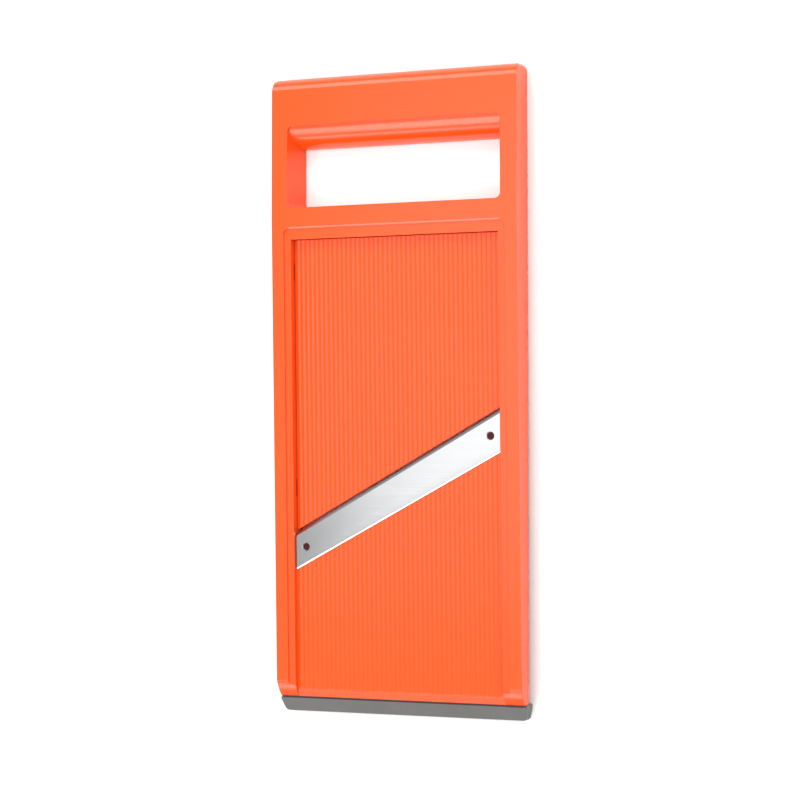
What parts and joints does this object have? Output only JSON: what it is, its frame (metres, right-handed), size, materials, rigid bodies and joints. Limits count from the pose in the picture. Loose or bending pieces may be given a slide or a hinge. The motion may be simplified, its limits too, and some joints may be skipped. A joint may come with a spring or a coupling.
{
  "type": "mandoline slicer",
  "caption": "Flat hand-held vegetable slicer: moulded frame with a hand opening, ribbed beds, a diagonal steel blade, an adjustable run-in plate and a soft foot.",
  "frame": {"origin": "under the middle of the slicer's length and width, on the surface it lies on", "axes": "+Y along the slicer towards the handle, +Z out of the slicing face, +X to the right seen from the face with the handle up"},
  "size_m": [0.1376, 0.33, 0.0164],
  "materials": {
    "orange_plastic": "glossy moulded orange",
    "blade_steel": "fine brushed stainless steel with a ground edge",
    "pin_plastic": "dark red plastic",
    "soft_foot": "matt grey soft plastic",
    "grey_plastic": "satin grey plastic",
    "plain_steel": "plain stainless steel"
  },
  "bodies": {
    "frame": {"frame": "orange_plastic", "blade": "blade_steel", "blade_pins": "pin_plastic", "foot": "soft_foot", "dial_bridge": "grey_plastic", "bridge_screws": "plain_steel", "friction_washer": "plain_steel"},
    "run_in": {"infeed_plate": "orange_plastic", "lift_screw": "plain_steel"},
    "dial": {"adjuster_dial": "grey_plastic", "dial_clip": "plain_steel"}
  },
  "joints": [
    {"name": "dial_turn", "type": "hinge", "parent": "frame", "child": "dial", "pos_m": [0, 0.02579, 0.00428], "axis": [0, 0.0077, -1], "range_deg": [-163, 136]},
    {"name": "plate_lift", "type": "slide", "parent": "frame", "child": "run_in", "axis": [0, -0.0077, 1], "range_m": [-0.0018, 0.0015]}
  ],
  "couplings": [
    {"joint": "dial_turn", "follows": "plate_lift", "rad_per_m": 1570.8}
  ]
}
